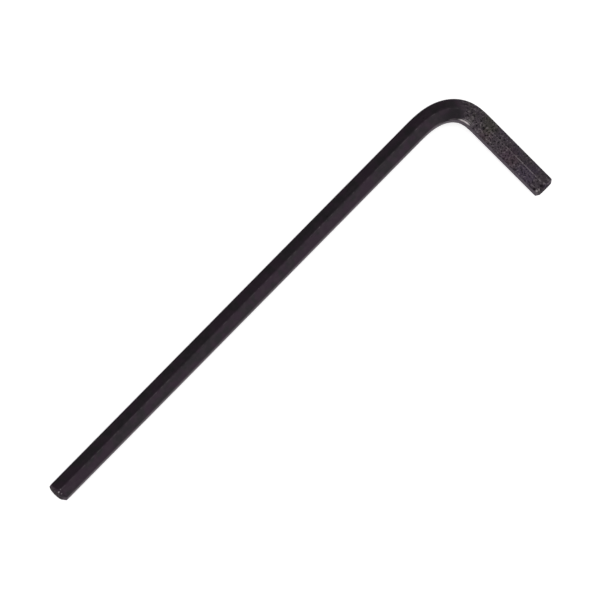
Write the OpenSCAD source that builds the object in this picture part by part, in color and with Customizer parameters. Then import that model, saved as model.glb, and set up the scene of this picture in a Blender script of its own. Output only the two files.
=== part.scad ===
// Hex key for socket screws: one bar of hexagonal steel, chamfered at both ends and bent once
// to a right angle. The bar has flats on the inside and outside of the bend, so the key lies
// on a corner edge of each arm. X runs along the long arm, Y along the short arm and Z is up.
// The origin is under the middle of the box that holds the key, on the surface it lies on.

/* [Bar] */
// Width across the flats in mm, which is the size of socket that the key turns
across_flats = 5; // [3:0.5:10]
// Width of the narrow flat that takes the sharpness off each long corner of the bar
corner_flat = 0.25; // [0.1:0.05:0.5]

/* [Arms] */
// Length of the long arm, from its end to the outer flat of the short arm
long_arm = 133; // [60:1:250]
// Length of the short arm, from its end to the outer flat of the long arm
short_arm = 33; // [30:1:80]
// Radius that the bar's inner flat follows round the bend
bend_radius = 6; // [3:0.5:16]

/* [Ends] */
// Width of the chamfer round each end, measured inwards from a flat
chamfer_width = 0.6; // [0.4:0.05:1]
// Length of the chamfer round each end, measured along a flat
chamfer_length = 0.4; // [0.2:0.05:0.8]

/* [Hidden] */

// Flats lie at flat_r from the bar's axis and the narrow corner flats at corner_r
flat_r = across_flats / 2;
corner_cut = corner_flat / (2 * sin(60));
half_side = flat_r * tan(30) - corner_cut;
corner_r = flat_r / cos(30) - corner_cut * cos(60);

// The bend is a quarter turn about a point that lies this far in from both outer flats
bend_centre = bend_radius + across_flats;
bend_line_r = bend_radius + flat_r;

// Each end is turned to a cone that crosses the flats at flat_r and the end face at end_r
end_r = flat_r - chamfer_width;
end_slope = chamfer_length / chamfer_width;
turning_margin = 0.5;
blank_r = corner_r + turning_margin;
curve_facets = 96;

// Section of the bar: a hexagon with flats facing along x, corners along y and broken corners
module bar_section() {
    polygon([
        for (facing = [0 : 60 : 300], side = [-1, 1])
            flat_r * [cos(facing), sin(facing)] + side * half_side * [-sin(facing), cos(facing)]
    ]);
}

// Round blank along z that clears the bar's corners and narrows in a cone to the end face
module turned_blank(length) {
    rotate_extrude($fn = curve_facets)
        polygon([
            [0, -turning_margin],
            [blank_r, -turning_margin],
            [blank_r, length - end_slope * (blank_r - end_r)],
            [end_r, length],
            [0, length]
        ]);
}

// Straight arm along +z, from its cut at the bend to its chamfered end
module arm(length) {
    intersection() {
        linear_extrude(length) bar_section();
        turned_blank(length);
    }
}

// Quarter turn of the bar about z, from +x round to +y
module bend() {
    rotate_extrude(angle = 90, $fn = curve_facets)
        translate([bend_line_r, 0]) bar_section();
}

module hex_key() {
    color([0.17, 0.155, 0.17])
    translate([bend_centre - long_arm / 2, bend_centre - short_arm / 2, corner_r]) {
        rotate(180) bend();
        translate([0, -bend_line_r, 0]) rotate([90, 0, 90]) arm(long_arm - bend_centre);
        translate([-bend_line_r, 0, 0]) rotate([90, 0, 180]) arm(short_arm - bend_centre);
    }
}

hex_key();
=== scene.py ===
"""A hex key for socket screws: one bar of hexagonal steel, bent once and blackened."""

import math

import bpy
import numpy as np
from mathutils import Matrix, Vector


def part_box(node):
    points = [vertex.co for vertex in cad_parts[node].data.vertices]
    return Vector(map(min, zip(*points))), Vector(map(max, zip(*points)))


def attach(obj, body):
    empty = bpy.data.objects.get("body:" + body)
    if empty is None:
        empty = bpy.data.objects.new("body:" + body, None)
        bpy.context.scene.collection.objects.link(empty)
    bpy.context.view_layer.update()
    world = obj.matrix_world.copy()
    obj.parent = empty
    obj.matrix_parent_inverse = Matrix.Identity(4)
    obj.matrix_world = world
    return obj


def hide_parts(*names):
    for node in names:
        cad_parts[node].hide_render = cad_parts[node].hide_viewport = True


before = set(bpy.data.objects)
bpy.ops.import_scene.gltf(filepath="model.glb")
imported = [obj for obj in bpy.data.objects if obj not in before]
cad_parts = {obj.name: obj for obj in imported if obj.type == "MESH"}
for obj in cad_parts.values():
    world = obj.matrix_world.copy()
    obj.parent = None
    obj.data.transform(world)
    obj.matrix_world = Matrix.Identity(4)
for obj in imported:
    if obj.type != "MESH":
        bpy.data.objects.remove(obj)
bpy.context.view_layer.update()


# ---- The bar ----------------------------------------------------------------------------
# A length of drawn hexagonal steel, its ends faced and chamfered on a lathe, then bent round
# a former a little past square. Flats face the inside and the outside of the bend. Use has
# rounded its long corners and nicked them near the ends.

ACROSS_FLATS = 0.005
CHAMFER_WIDTH = 0.0006
CHAMFER_LENGTH = 0.0004
PAST_SQUARE = math.radians(1.2)
SHORT_EASE = 0.0050      # along the bend from the short arm to where it's tightest
LONG_EASE = 0.0145       # and from there to the long arm
SIDES = 6
HALF_SIDE = math.pi / SIDES

key_low, key_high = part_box("hex_key")
mid_height = (key_low.z + key_high.z) / 2
flat_r = ACROSS_FLATS / 2
sharp_r = flat_r / math.cos(HALF_SIDE)
corner_r = (key_high.z - key_low.z) / 2
end_r = flat_r - CHAMFER_WIDTH

# A corner rounded to this radius reaches as far from the axis as the CAD bar's corner
corner_round = (sharp_r - corner_r) / (1 / math.cos(HALF_SIDE) - 1)

bend_turn = math.pi / 2 + PAST_SQUARE
bend_length = SHORT_EASE + LONG_EASE
tightest = 2 * bend_turn / bend_length


def bend_angle(run):
    """Direction to the inside of the bend, as an angle, by distance along the bar into it.

    The bend is tightest SHORT_EASE in, and its curvature falls evenly to nothing at both its
    ends, so the angle is -PAST_SQUARE plus the curvature's sum: tightest * run squared / 2 /
    SHORT_EASE up to there, and the whole turn less a like square from there on.
    """
    run = np.clip(run, 0, bend_length)
    near = tightest * run ** 2 / 2 / SHORT_EASE
    far = bend_turn - tightest * (bend_length - run) ** 2 / 2 / LONG_EASE
    return np.where(run < SHORT_EASE, near, far) - PAST_SQUARE


# The bend's line is its heading summed step by step from the short arm. It's placed so that
# both arms' outer flats touch the CAD bar's sides, and the arms reach to its ends.
BEND_POINTS = 1001
bend_run = np.linspace(0, bend_length, BEND_POINTS)
bend_step = bend_run[1]
bend_inside = bend_angle(bend_run)
bend_x = np.cumsum(np.sin(bend_inside)) * bend_step
bend_y = -np.cumsum(np.cos(bend_inside)) * bend_step
bend_x = bend_x + key_low.x - np.min(bend_x - flat_r * np.cos(bend_inside))
bend_y = bend_y + key_low.y + flat_r - bend_y[-1]
short_rise = key_high.y - bend_y[0] - end_r * math.sin(PAST_SQUARE)
short_straight = short_rise / math.cos(PAST_SQUARE)
long_straight = key_high.x - bend_x[-1]
bar_length = short_straight + bend_length + long_straight


def hexagon(flat_steps, corner_steps):
    """Angle and radius of each point of the bar's section, and the distance round to it.

    A point on a flat is at flat_r along the flat's facing and evenly spaced across it. A
    point on a corner is corner_round out from the corner's centre, which is on the line at
    half a side's angle, (flat_r - corner_round) / cos(half side) from the axis. The side
    that faces angle 0 is repeated, turned, for the other five. The last distance closes
    the ring.
    """
    half_flat = (flat_r - corner_round) * math.tan(HALF_SIDE)
    across = np.linspace(-half_flat, half_flat, flat_steps + 1)
    turn = np.linspace(0, 2 * HALF_SIDE, corner_steps + 1)[1:-1]
    x = np.append(np.full(across.size, flat_r), flat_r + corner_round * (np.cos(turn) - 1))
    y = np.append(across, half_flat + corner_round * np.sin(turn))
    facing = 2 * HALF_SIDE * np.arange(SIDES)
    angle = (facing[:, None] + np.arctan2(y, x)).ravel()
    radius = np.tile(np.hypot(x, y), SIDES)
    point = radius * np.exp(1j * angle)
    around = np.cumsum(np.abs(np.diff(point, append=point[0])))
    return angle, radius, np.append(0, around)


LIP = 0.00004            # the worn edge between an end face and its chamfer
FIRST_RING = 0.06        # the ring nearest an end's middle, as a share of the face's radius


def end_profile(face_rings, cone_rings, cone_depth):
    """Depth from the end face and greatest radius of the rings that make one end.

    The face's rings lie evenly spaced at depth 0, out to a worn edge that three more rings
    make round. The cone widens from end_r by CHAMFER_WIDTH / CHAMFER_LENGTH for each unit of
    depth. Its rings' depths grow as even steps to the power 1.5, closest together at the end.
    """
    face = np.linspace(FIRST_RING, 1, face_rings) * (end_r - 3 * LIP)
    depth = LIP + (cone_depth - LIP) * np.linspace(0, 1, cone_rings) ** 1.5
    cone = end_r + depth * CHAMFER_WIDTH / CHAMFER_LENGTH
    depths = np.concatenate([np.zeros(face.size), [0, 0.3 * LIP], depth])
    limits = np.concatenate([face, [end_r - LIP, end_r - 0.3 * LIP], cone])
    return depths, limits


def bar_line(along):
    """Place on the bar's axis, and direction to the inside of the bend, by distance along.

    The inside of the bend lies along (cos, sin) of its angle. In the bend the place is looked
    up on its line, and what is left of an arm is added to it, straight along the arm.
    """
    run = along - short_straight
    inside = bend_angle(run)
    short_left = np.maximum(-run, 0)
    x = np.interp(run, bend_run, bend_x) + short_left * math.sin(PAST_SQUARE)
    y = np.interp(run, bend_run, bend_y) + short_left * math.cos(PAST_SQUARE)
    x = x + np.maximum(run - bend_length, 0)
    return np.stack([x, y], axis=-1), np.stack([np.cos(inside), np.sin(inside)], axis=-1)


def dent(along, angle, at, towards, length, width, depth):
    """How far a nick pushes the surface in: depth times a bell curve along and round."""
    gap = (angle - towards + math.pi) % (2 * math.pi) - math.pi
    return depth * np.exp(-((along - at) / length) ** 2 - (gap * flat_r / width) ** 2)


# The rings along the bar, and the radius that the chamfers leave at each
SHORT_RINGS = 90
BEND_RINGS = 110
LONG_RINGS = 240
angle, section_r, around = hexagon(flat_steps=16, corner_steps=6)
end_depth, end_limit = end_profile(face_rings=10, cone_rings=26, cone_depth=0.0016)
bend_end = short_straight + bend_length
middle = np.concatenate([
    np.linspace(end_depth[-1], short_straight, SHORT_RINGS)[1:-1],
    np.linspace(short_straight, bend_end, BEND_RINGS),
    np.linspace(bend_end, bar_length - end_depth[-1], LONG_RINGS)[1:-1],
])
along = np.concatenate([end_depth, middle, bar_length - end_depth[::-1]])
no_limit = 2 * sharp_r
limit_r = np.concatenate([end_limit, np.full(middle.size, no_limit), end_limit[::-1]])
on_face = (limit_r < end_r)[:, None]

# A chamfer's cone cuts each ring: the smaller of their two radii is taken, and EDGE_ROUND
# rounds the edge between them. The long arm's chamfer is ground off centre, by a share of its
# radius, so it takes less off the outer corners.
EDGE_ROUND = 0.00003
OFF_CENTRE = 0.14
along_sheet, angle_sheet = np.meshgrid(along, angle, indexing="ij")
limit_sheet, section_sheet = np.meshgrid(limit_r, section_r, indexing="ij")
at_long_end = along_sheet > bar_length / 2
limit_sheet = limit_sheet * (1 - OFF_CENTRE * np.cos(angle_sheet) * at_long_end)
gap = (section_sheet - limit_sheet) / 2
cut = (section_sheet + limit_sheet) / 2 - np.hypot(gap, EDGE_ROUND)
radius = np.where(on_face, limit_sheet, cut)

# Nicks in the ridge near both ends: place along, direction round, length, width and depth
UP = math.pi / 2
NICKS = (
    (0.0006, UP, 0.00035, 0.0004, 0.00010),
    (0.0015, UP - 0.55, 0.0004, 0.0005, 0.00007),
    (0.0048, UP, 0.0005, 0.00025, 0.00003),
    (0.0093, UP, 0.0008, 0.00022, 0.00003),
    (bar_length - 0.0008, UP, 0.0004, 0.0004, 0.00009),
    (bar_length - 0.0017, UP - 0.3, 0.0003, 0.0003, 0.00005),
)
for at, towards, length, width, depth in NICKS:
    nick = dent(along_sheet, angle_sheet, at, towards, length, width, depth)
    radius = radius - np.where(on_face, 0, nick)

# Round the bend the metal inside is squeezed, and swells up and down, and outside it thins
SWELL = 0.05
place, inside = bar_line(along)
into_bend = [0, SHORT_EASE, bend_length]
bending = np.interp(along - short_straight, into_bend, [0, 1, 0])[:, None]
inward = radius * np.cos(angle)
swelling = SWELL * bending * inward / flat_r
rings = np.empty((along.size, angle.size, 3))
rings[..., :2] = place[:, None, :] + inward[..., None] * inside[:, None, :]
rings[..., 2] = mid_height + radius * np.sin(angle) * (1 + swelling)

# Each ring is joined to the next, and each end closed by a fan round its middle
index = np.arange(radius.size).reshape(radius.shape)
beside = np.roll(index, -1, axis=1)
quads = np.stack([index[:-1], beside[:-1], beside[1:], index[1:]], axis=-1)
short_middle = np.full(angle.size, radius.size)
long_middle = short_middle + 1
short_fan = np.stack([short_middle, beside[0], index[0]], axis=-1)
long_fan = np.stack([index[-1], beside[-1], long_middle], axis=-1)
middles = [[*place[0], mid_height], [*place[-1], mid_height]]
bar_mesh = bpy.data.meshes.new("hex_key_bar")
bar_mesh.from_pydata(
    np.vstack([rings.reshape(-1, 3), middles]),
    [],
    quads.reshape(-1, 4).tolist() + short_fan.tolist() + long_fan.tolist(),
)
bar_mesh.shade_smooth()
bar = bpy.data.objects.new("hex_key_bar", bar_mesh)
bpy.context.scene.collection.objects.link(bar)

# The finish follows three measures of each point: its distance along the bar, its distance
# from the nearest edge that wears, and how far it faces the inside of the bend
to_corner = np.abs(angle_sheet % (2 * HALF_SIDE) - HALF_SIDE) * flat_r
to_cone = np.abs(section_sheet - limit_sheet)
to_end = np.minimum(along_sheet, bar_length - along_sheet)
to_lip = np.hypot(limit_r[:, None] - end_r, to_end)
edge = np.where(on_face, to_lip, np.minimum(np.minimum(to_corner, to_cone), to_lip))
for name, sheet, at_middles in (
    ("along", along_sheet, [0, bar_length]),
    ("edge", edge, [end_r, end_r]),
    ("inwards", np.cos(angle_sheet), [0, 0]),
):
    layer = bar_mesh.attributes.new(name, "FLOAT", "POINT")
    layer.data.foreach_set("value", np.append(sheet, at_middles).astype(np.float32))

# The map is in metres, the distance round the bar by the distance run along its surface
face_run = np.where(on_face[:, 0], limit_r - end_r, 0)
run = along + np.where(along < bar_length / 2, face_run, -face_run)
side_start = around[:-1]
side_end = around[1:]
quad_u = np.stack([side_start, side_end, side_end, side_start], axis=-1)
quad_v = np.stack([run[:-1], run[:-1], run[1:], run[1:]], axis=-1)[:, None, :]
quad_u = np.broadcast_to(quad_u, quads.shape)
quad_v = np.broadcast_to(quad_v, quads.shape)
fan_u = np.stack([side_start, side_end, side_start], axis=-1)
short_v = np.broadcast_to([-end_r, run[0], run[0]], fan_u.shape)
long_v = np.broadcast_to([run[-1], run[-1], bar_length + end_r], fan_u.shape)
map_u = np.concatenate([quad_u.ravel(), fan_u.ravel(), fan_u.ravel()])
map_v = np.concatenate([quad_v.ravel(), short_v.ravel(), long_v.ravel()])
map_places = np.stack([map_u, map_v], axis=-1).astype(np.float32)
bar_map = bar_mesh.uv_layers.new(name="bar_map")
bar_map.uv.foreach_set("vector", map_places.ravel())


class Signal:
    """A socket of a material's nodes. Arithmetic on it adds Math nodes."""

    def __init__(self, tree, socket=None):
        self.tree = tree
        self.socket = socket

    def node(self, kind, settings=None, sockets=None, out=0):
        """Adds a node, sets its settings and then its sockets, to values or to Signals.

        Gives the output named or numbered out, if the node has any.
        """
        made = self.tree.nodes.new(kind)
        for name, value in (settings or {}).items():
            setattr(made, name, value)
        for name, value in (sockets or {}).items():
            if isinstance(value, Signal):
                self.tree.links.new(value.socket, made.inputs[name])
            else:
                made.inputs[name].default_value = value
        return Signal(self.tree, made.outputs[out] if len(made.outputs) else None)

    def maths(self, operation, *others):
        """Adds a Math node for an operation on this value and others."""
        values = dict(enumerate((self,) + others))
        return self.node("ShaderNodeMath", {"operation": operation}, values)

    def __add__(self, other):
        return self.maths("ADD", other)

    __radd__ = __add__

    def __sub__(self, other):
        return self.maths("SUBTRACT", other)

    def __rsub__(self, other):
        return self * -1 + other

    def __mul__(self, other):
        return self.maths("MULTIPLY", other)

    __rmul__ = __mul__

    def step(self, low, high):
        """0 where the value is low, 1 where it is high, and smooth between."""
        ends = {"Value": self, "From Min": low, "From Max": high}
        return self.node("ShaderNodeMapRange", {"interpolation_type": "SMOOTHSTEP"}, ends)

    def mix(self, first, second):
        """The first colour where the value is 0 and the second where it is 1.

        A Mix node has sockets for each kind of data. Inputs 6 and 7 and output 2 are colours.
        """
        colours = {0: self, 6: first, 7: second}
        return self.node("ShaderNodeMix", {"data_type": "RGBA"}, colours, out=2)


black = bpy.data.materials.new("blackened_steel")
black.use_nodes = True
black.node_tree.nodes.clear()
tree = Signal(black.node_tree)
here = tree.node("ShaderNodeTexCoord", out="Object")
on_map = tree.node("ShaderNodeUVMap", {"uv_map": "bar_map"})


def measure(name):
    """One of the bar's measures, as a value."""
    return tree.node("ShaderNodeAttribute", {"attribute_name": name}, out="Fac")


def noise(size, detail, roughness, place=here, offset=(0, 0, 0)):
    """Cloudy noise whose blotches are about size metres across."""
    moved = tree.node("ShaderNodeVectorMath", {"operation": "ADD"}, {0: place, 1: offset})
    sockets = {"Vector": moved, "Scale": 1 / size, "Detail": detail, "Roughness": roughness}
    return tree.node("ShaderNodeTexNoise", sockets=sockets)


def stretched(place, factors):
    """A place with each coordinate times a factor, so that a pattern on it is drawn out."""
    return tree.node("ShaderNodeVectorMath", {"operation": "MULTIPLY"}, {0: place, 1: factors})


along_bar = measure("along")
edge_distance = measure("edge")
inwards = measure("inwards")

# Fire scale from bending is left on the short arm and that half of the bend, up to a ragged
# edge. It's strongest next to the bend, and fades a little towards the end.
SCALE_END = 0.0258
patches = noise(0.0017, detail=3, roughness=0.6)
wander = 0.003 * (patches - 0.5) + 0.0011 * inwards
scaled = 1 - (along_bar + wander).step(SCALE_END - 0.0008, SCALE_END + 0.0016)
strength = 0.75 + 0.25 * along_bar.step(0.007, 0.014)
grain = noise(0.00034, detail=2, roughness=0.65)
flecks = noise(0.00042, detail=2, roughness=0.7, offset=(0.3, 0, 0))
pits = (1 - flecks.step(0.38, 0.46)) * scaled * strength
sparks = flecks.step(0.58, 0.67) * scaled * strength

# Everywhere there are faint lines from drawing the bar, and soft changes of tint
long_map = stretched(on_map, (1, 0.02, 1))
draw_lines = noise(0.00018, detail=3, roughness=0.6, place=long_map)
tint = noise(0.0032, detail=2, roughness=0.5, offset=(0, 0.7, 0))

# Marks are placed by a direction round the bar and a distance along it
around_bar = tree.node("ShaderNodeSeparateXYZ", sockets={"Vector": on_map}, out="X")


def round_at(degrees):
    """Distance round the bar to a direction from its axis, in degrees up from the inside."""
    return float(np.interp(math.radians(degrees), angle, around[:-1]))


def streak(degrees, half_width, start, end, fade, weight):
    """A band at a direction round the bar, from start to end along it, fading at its edges."""
    beside = (around_bar - round_at(degrees)).maths("ABSOLUTE")
    across = 1 - beside.step(0.3 * half_width, half_width)
    begun = along_bar.step(start - fade, start + fade)
    length = begun * (1 - along_bar.step(end - fade, end + fade))
    return weight * across * length


def spot(degrees, at, size, weight):
    """A small mark at a direction round the bar and a distance along it, its rim uneven."""
    gap_round = around_bar - round_at(degrees)
    gap_along = along_bar - at
    gap = (gap_round * gap_round + gap_along * gap_along).maths("SQRT", 0.5)
    return weight * (1 - (gap + 0.5 * size * (grain - 0.5)).step(0.4 * size, size))


# Rubbed corners: bare metal shows at the short end's edges and faintly at the others, and in
# specks along the smooth ones
RUBBED_FAINTLY = 0.05
RUBBED_BY_END = 0.35
RUBBED_SPECKS = 0.20
rub_noise = noise(0.0011, detail=3, roughness=0.65, offset=(0, 0, 0.4))
near_edge = 1 - edge_distance.step(0.00003, 0.00011)
by_end = 1 - along_bar.step(0.0006, 0.0014)
rubbed_edges = near_edge * (RUBBED_FAINTLY + RUBBED_BY_END * by_end) * rub_noise.step(0.48, 0.62)
specks = RUBBED_SPECKS * near_edge * flecks.step(0.66, 0.74) * (1 - scaled)
corners = rubbed_edges + specks

# The long arm's inner upper corner is polished by handling
polished = streak(32, half_width=0.00028, start=0.0325, end=bar_length, fade=0.0020, weight=0.15)

# A broken pale line runs along the short arm's ridge, partly worn bare metal and partly a
# painted highlight of the lit ridge
ridge_wear_and_highlight = (
    streak(87.5, half_width=0.00013, start=0.0012, end=0.0100, fade=0.0006, weight=0.20)
    + streak(87.5, half_width=0.00013, start=0.0100, end=0.0180, fade=0.0010, weight=0.10)
) * rub_noise.step(0.30, 0.55)

# Painted highlights: pale streaks along the inner corner of the bend, where it would catch the
# light, with a soft painted glow beside them
painted_bend_highlights = (
    streak(34, half_width=0.00027, start=0.0232, end=0.0262, fade=0.0010, weight=1.1)
    + streak(34, half_width=0.00013, start=0.0222, end=0.0298, fade=0.0006, weight=0.22)
    + streak(43, half_width=0.00013, start=0.0222, end=0.0256, fade=0.0010, weight=0.22)
) * rub_noise.step(0.2, 0.5)
painted_bend_glow = streak(45, half_width=0.0012, start=0.0222, end=0.0246, fade=0.0014, weight=0.07)
# The painted highlight streaks with their painted glow
painted_bend_highlights = painted_bend_highlights + painted_bend_glow

# Chips near both ends
chips = (
    spot(38, at=0.00098, size=0.00040, weight=0.32)
    + spot(50, at=0.00075, size=0.00032, weight=0.18)
    + spot(94, at=0.0009, size=0.00035, weight=0.12)
    + spot(128, at=0.0010, size=0.00060, weight=0.10)
    + spot(88, at=bar_length - 0.00020, size=0.00030, weight=0.40)
    + spot(72, at=bar_length - 0.00045, size=0.00022, weight=0.25)
    + spot(92, at=bar_length - 0.00085, size=0.00020, weight=0.20)
)
# Worn bare metal and chips, with the painted highlights of the ridge and the bend
rubbed_and_highlit = (corners + polished + ridge_wear_and_highlight + painted_bend_highlights + chips).maths("MINIMUM", 1)

# A band of painted shade lies over the short arm's ridge and upper flats, and dark marks at
# its end and on the long arm
painted_shade_and_marks = (
    streak(88, half_width=0.0024, start=0.0015, end=0.0256, fade=0.0012, weight=0.13)
    + spot(36, at=0.00165, size=0.00050, weight=1)
    + spot(74, at=0.0010, size=0.00060, weight=0.9)
    + spot(100, at=0.0678, size=0.00022, weight=0.7)
    + spot(86, at=0.0737, size=0.00020, weight=0.6)
    + spot(108, at=0.0356, size=0.00025, weight=0.7)
).maths("MINIMUM", 1)

# The two end faces are cut through the finish and stay dull, with the marks of the cut
CUT_DARK = (0.024, 0.020, 0.023, 1)
CUT_PALE = (0.058, 0.050, 0.055, 1)
long_face = along_bar.step(bar_length - 0.00012, bar_length - 0.00004)
short_face = 1 - along_bar.step(0.00004, 0.00012)
end_faces = long_face + short_face
cut_map = stretched(here, (1, 1, 0.12))
cut_lines = noise(0.00022, detail=2, roughness=0.6, place=cut_map)
cut_steel = cut_lines.step(0.38, 0.62).mix(CUT_DARK, CUT_PALE)

# The smooth oxide of the long arm: purple-black, greyer in places, with paler draw lines
SMOOTH_PURPLE = (0.0295, 0.0200, 0.0285, 1)
SMOOTH_GREY = (0.0222, 0.0198, 0.0225, 1)
DRAWN_PALE = (0.034, 0.028, 0.033, 1)
CLOUDED = (0.036, 0.028, 0.034, 1)
smooth_black = tint.step(0.42, 0.58).mix(SMOOTH_PURPLE, SMOOTH_GREY)
lined_black = (0.3 * draw_lines.step(0.3, 0.7)).mix(smooth_black, DRAWN_PALE)
clouded_black = (0.5 * patches.step(0.45, 0.65)).mix(lined_black, CLOUDED)

# The fire scale: dull and grainy, tinted by heat, with black pits and pale sparks
DULL_DARK = (0.026, 0.0205, 0.0255, 1)
DULL_PALE = (0.046, 0.038, 0.044, 1)
GRAIN_PALE = (0.0645, 0.0530, 0.0625, 1)
VIOLET = (0.054, 0.038, 0.072, 1)
RUDDY = (0.064, 0.040, 0.050, 1)
OLIVE = (0.052, 0.052, 0.038, 1)
PIT_BLACK = (0.007, 0.006, 0.007, 1)
SPARK_PALE = (0.155, 0.135, 0.142, 1)
TINTED = 0.25
dull_black = patches.step(0.3, 0.7).mix(DULL_DARK, DULL_PALE)
grainy_black = (grain.step(0.38, 0.62) * strength).mix(dull_black, GRAIN_PALE)
violet = TINTED * tint.step(0.54, 0.66) + spot(56, at=0.0055, size=0.0034, weight=0.32)
ruddy = (
    spot(60, at=0.0108, size=0.0034, weight=0.45)
    + spot(55, at=0.0182, size=0.0022, weight=0.50)
)
olive = TINTED * (1 - tint.step(0.34, 0.46)) + spot(112, at=0.0192, size=0.0030, weight=0.55)
tinted_black = olive.mix(ruddy.mix(violet.mix(grainy_black, VIOLET), RUDDY), OLIVE)
pitted_black = pits.mix(tinted_black, PIT_BLACK)
sparkling_black = (0.8 * sparks).mix(pitted_black, SPARK_PALE)

# The marks and painted shade, the bare metal and painted highlights, and the cut ends go
# over the oxide
# The colour of the dark marks and of the painted shade
MARK_AND_SHADE_BLACK = (0.008, 0.006, 0.008, 1)
# The colour of bare steel and of the painted highlights
BARE_STEEL_AND_HIGHLIGHT = (0.50, 0.455, 0.465, 1)
oxide = scaled.mix(clouded_black, sparkling_black)
marked_and_shaded = painted_shade_and_marks.mix(oxide, MARK_AND_SHADE_BLACK)
worn_and_highlit = rubbed_and_highlit.mix(marked_and_shaded, BARE_STEEL_AND_HIGHLIGHT)
colour = end_faces.mix(worn_and_highlit, cut_steel)

# The scale is rougher than the smooth oxide, and rubbed places and painted highlights are
# smoother
OXIDE_ROUGHNESS = 0.42
scale_rougher = scaled * (0.08 + 0.25 * (grain - 0.5))
gloss = OXIDE_ROUGHNESS + 0.08 * (draw_lines - 0.5) + scale_rougher - 0.08 * rubbed_and_highlit

# Heights of the scale's bumps and of the draw lines, in metres
SCALE_HEIGHT = 0.00003
DRAWN_HEIGHT = 0.000003
scale_relief = scaled * (grain * 0.6 + patches * 0.8 - pits * 0.8) * SCALE_HEIGHT
relief = scale_relief + draw_lines * DRAWN_HEIGHT
bumped = tree.node(
    "ShaderNodeBump",
    sockets={"Height": relief, "Distance": 1.0, "Strength": 1.0},
)
steel = tree.node("ShaderNodeBsdfPrincipled", sockets={
    "Base Color": colour,
    "Metallic": 1 - end_faces,
    "Roughness": gloss,
    "Specular IOR Level": 0.0,
    "Specular Tint": (0.70, 0.66, 0.70, 1),
    "Normal": bumped,
})
tree.node("ShaderNodeOutputMaterial", sockets={"Surface": steel})
bar_mesh.materials.append(black)

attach(bar, "root")
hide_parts("hex_key")


# ---- The floor --------------------------------------------------------------------------
# A wide sheet of plain white card that the key lies on, level with the lowest edges of the
# CAD bar. It isn't part of the key.

FLOOR_HALF = 1.5
CARD_WHITE = (0.70, 0.70, 0.70, 1)
CARD_GLOW = 0.60         # the light that the card gives back from a room all round it
floor_mesh = bpy.data.meshes.new("floor")
floor_mesh.from_pydata(
    [
        (-FLOOR_HALF, -FLOOR_HALF, key_low.z),
        (FLOOR_HALF, -FLOOR_HALF, key_low.z),
        (FLOOR_HALF, FLOOR_HALF, key_low.z),
        (-FLOOR_HALF, FLOOR_HALF, key_low.z),
    ],
    [],
    [(0, 1, 2, 3)],
)
floor = bpy.data.objects.new("floor", floor_mesh)
bpy.context.scene.collection.objects.link(floor)
card = bpy.data.materials.new("white_card")
card.use_nodes = True
paper = card.node_tree.nodes["Principled BSDF"]
paper.inputs["Base Color"].default_value = CARD_WHITE
paper.inputs["Emission Color"].default_value = (1, 1, 1, 1)
paper.inputs["Emission Strength"].default_value = CARD_GLOW
paper.inputs["Roughness"].default_value = 0.9
paper.inputs["Specular IOR Level"].default_value = 0.0
floor_mesh.materials.append(card)


# ---- Light and camera -------------------------------------------------------------------
# A large soft box hangs overhead, and four smaller ones stand round the key, low enough that
# its ridge doesn't mirror them. The camera looks down from nearly overhead.

ROOM_LIGHT = 0.32
room = bpy.data.worlds.new("room")
room.use_nodes = True
walls = room.node_tree.nodes["Background"]
walls.inputs["Color"].default_value = (1, 1, 1, 1)
walls.inputs["Strength"].default_value = ROOM_LIGHT
bpy.context.scene.world = room
bpy.context.scene.view_settings.view_transform = "Standard"


def soft_box(name, towards, lift, away, width, height, radiance):
    """A flat light that faces the key, at an angle round it, a lift above the floor in degrees
    and a distance away. Its watts are pi times its area times its radiance.
    """
    lamp = bpy.data.lights.new(name, "AREA")
    lamp.shape = "RECTANGLE"
    lamp.size = width
    lamp.size_y = height
    lamp.energy = math.pi * width * height * radiance
    box = bpy.data.objects.new(name, lamp)
    round_key = math.radians(towards)
    up_key = math.radians(lift)
    flat = math.cos(up_key)
    aim = Vector((flat * math.cos(round_key), flat * math.sin(round_key), math.sin(up_key)))
    box.location = aim * away
    box.rotation_mode = "QUATERNION"
    box.rotation_quaternion = aim.to_track_quat("Z", "Y")
    box.visible_camera = False
    bpy.context.scene.collection.objects.link(box)


soft_box("ceiling", towards=90, lift=90, away=1.4, width=2.4, height=2.4, radiance=0.8)
soft_box("inner_light", towards=113, lift=33, away=0.8, width=0.8, height=0.6, radiance=1.25)
soft_box("right_light", towards=-14, lift=40, away=0.8, width=0.6, height=0.6, radiance=1.65)
soft_box("left_light", towards=192, lift=24, away=0.6, width=0.45, height=0.5, radiance=0.85)
soft_box("outer_light", towards=258, lift=24, away=0.8, width=0.6, height=0.5, radiance=0.15)

CAMERA_AWAY = 3.0
SENSOR_WIDTH = 36        # millimetres, as the lens is
CAMERA_LENS = 792.35
LOOKED_AT = Vector((-0.005078, -0.005678, mid_height))
ROLL = math.radians(225.434)      # the long arm's direction in the view, from its right

to_camera = Vector((0.2223, 0.0457, 0.9739)).normalized()
long_way = Vector((1, 0, 0))
level = (long_way - to_camera * long_way.dot(to_camera)).normalized()
across = to_camera.cross(level)
view_right = level * math.cos(ROLL) - across * math.sin(ROLL)
view_up = level * math.sin(ROLL) + across * math.cos(ROLL)
camera_data = bpy.data.cameras.new("camera")
camera_data.sensor_width = SENSOR_WIDTH
camera_data.lens = CAMERA_LENS
camera_data.clip_start = 0.01
camera_data.clip_end = 100
camera = bpy.data.objects.new("camera", camera_data)
turned = Matrix((view_right, view_up, to_camera)).transposed()
camera.matrix_world = Matrix.LocRotScale(LOOKED_AT + to_camera * CAMERA_AWAY, turned, None)
bpy.context.scene.collection.objects.link(camera)
bpy.context.scene.camera = camera
